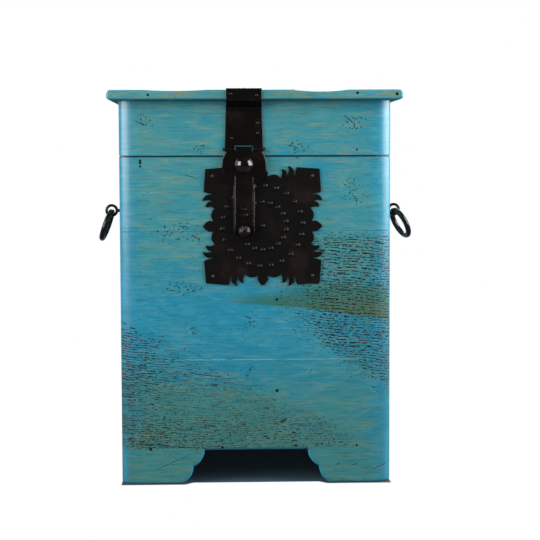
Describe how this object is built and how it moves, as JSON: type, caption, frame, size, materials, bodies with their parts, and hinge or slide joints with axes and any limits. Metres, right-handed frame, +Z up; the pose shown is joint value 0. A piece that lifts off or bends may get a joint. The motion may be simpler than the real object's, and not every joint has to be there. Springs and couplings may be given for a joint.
{
  "type": "lidded storage chest",
  "caption": "Tall painted wooden chest with an overhanging hinged lid, wrought-iron hasp, ornate lock plate, ring handles on the sides and a scalloped front base.",
  "frame": {"origin": "on the floor, under the middle of the object's outline", "axes": "+X to the right seen from the front, +Y to the back, +Z up"},
  "size_m": [0.6135, 0.4442, 0.7325],
  "materials": {
    "painted_wood": "turquoise paint, rubbed and wormed, olive and brown showing through",
    "bare_wood": "bare sawn softwood",
    "black_iron": "hand-forged iron under glossy black lacquer",
    "rusty_nails": "rusted forged iron"
  },
  "bodies": {
    "chest": {"front_board_bottom": "painted_wood", "back_board_bottom": "painted_wood", "left_side_board_bottom": "painted_wood", "right_side_board_bottom": "painted_wood", "front_board_middle": "painted_wood", "back_board_middle": "painted_wood", "left_side_board_middle": "painted_wood", "right_side_board_middle": "painted_wood", "front_board_top": "painted_wood", "back_board_top": "painted_wood", "left_side_board_top": "painted_wood", "right_side_board_top": "painted_wood", "floor_cleat_front": "bare_wood", "floor_cleat_back": "bare_wood", "floor_cleat_left": "bare_wood", "floor_cleat_right": "bare_wood", "floor_board_front": "bare_wood", "floor_board_middle": "bare_wood", "floor_board_back": "bare_wood", "foot_block_front_left": "bare_wood", "foot_block_front_right": "bare_wood", "foot_block_back_left": "bare_wood", "foot_block_back_right": "bare_wood", "left_hinge_chest_leaf": "black_iron", "left_hinge_pin": "black_iron", "right_hinge_chest_leaf": "black_iron", "right_hinge_pin": "black_iron", "left_ring_eye": "black_iron", "right_ring_eye": "black_iron", "ring_eye_roves": "black_iron", "lock_plate": "black_iron", "carcass_nails": "rusty_nails", "lock_plate_nails": "rusty_nails", "hinge_chest_nails": "rusty_nails"},
    "lid": {"lid_board_front": "painted_wood", "lid_board_middle": "painted_wood", "lid_board_back": "painted_wood", "lid_rail_front": "painted_wood", "lid_rail_back": "painted_wood", "lid_rail_left": "painted_wood", "lid_rail_right": "painted_wood", "left_hinge_lid_leaf": "black_iron", "right_hinge_lid_leaf": "black_iron", "hinge_lid_nails": "rusty_nails", "hasp_strap": "black_iron", "hasp_pin": "black_iron", "hasp_strap_nails": "rusty_nails", "lid_nails": "rusty_nails"},
    "hasp": {"hasp_tongue": "black_iron", "hasp_stud": "black_iron", "hasp_rivets": "black_iron", "hasp_lift_knob": "black_iron"},
    "left_ring": {"left_ring": "black_iron"},
    "right_ring": {"right_ring": "black_iron"}
  },
  "joints": [
    {"name": "lid_open", "type": "hinge", "parent": "chest", "child": "lid", "pos_m": [0, 0.21058, 0.6082], "axis": [-1, 0, 0], "range_deg": [0, 110]},
    {"name": "hasp_lift", "type": "hinge", "parent": "lid", "child": "hasp", "pos_m": [-0.0205, -0.19942, 0.621], "axis": [-1, 0, 0], "range_deg": [0, 150]},
    {"name": "left_ring_swing", "type": "hinge", "parent": "chest", "child": "left_ring", "pos_m": [-0.278, 0.00558, 0.501], "axis": [0, 1, 0], "range_deg": [-40, 180]},
    {"name": "right_ring_swing", "type": "hinge", "parent": "chest", "child": "right_ring", "pos_m": [0.278, 0.00558, 0.501], "axis": [0, -1, 0], "range_deg": [-48, 172]}
  ]
}
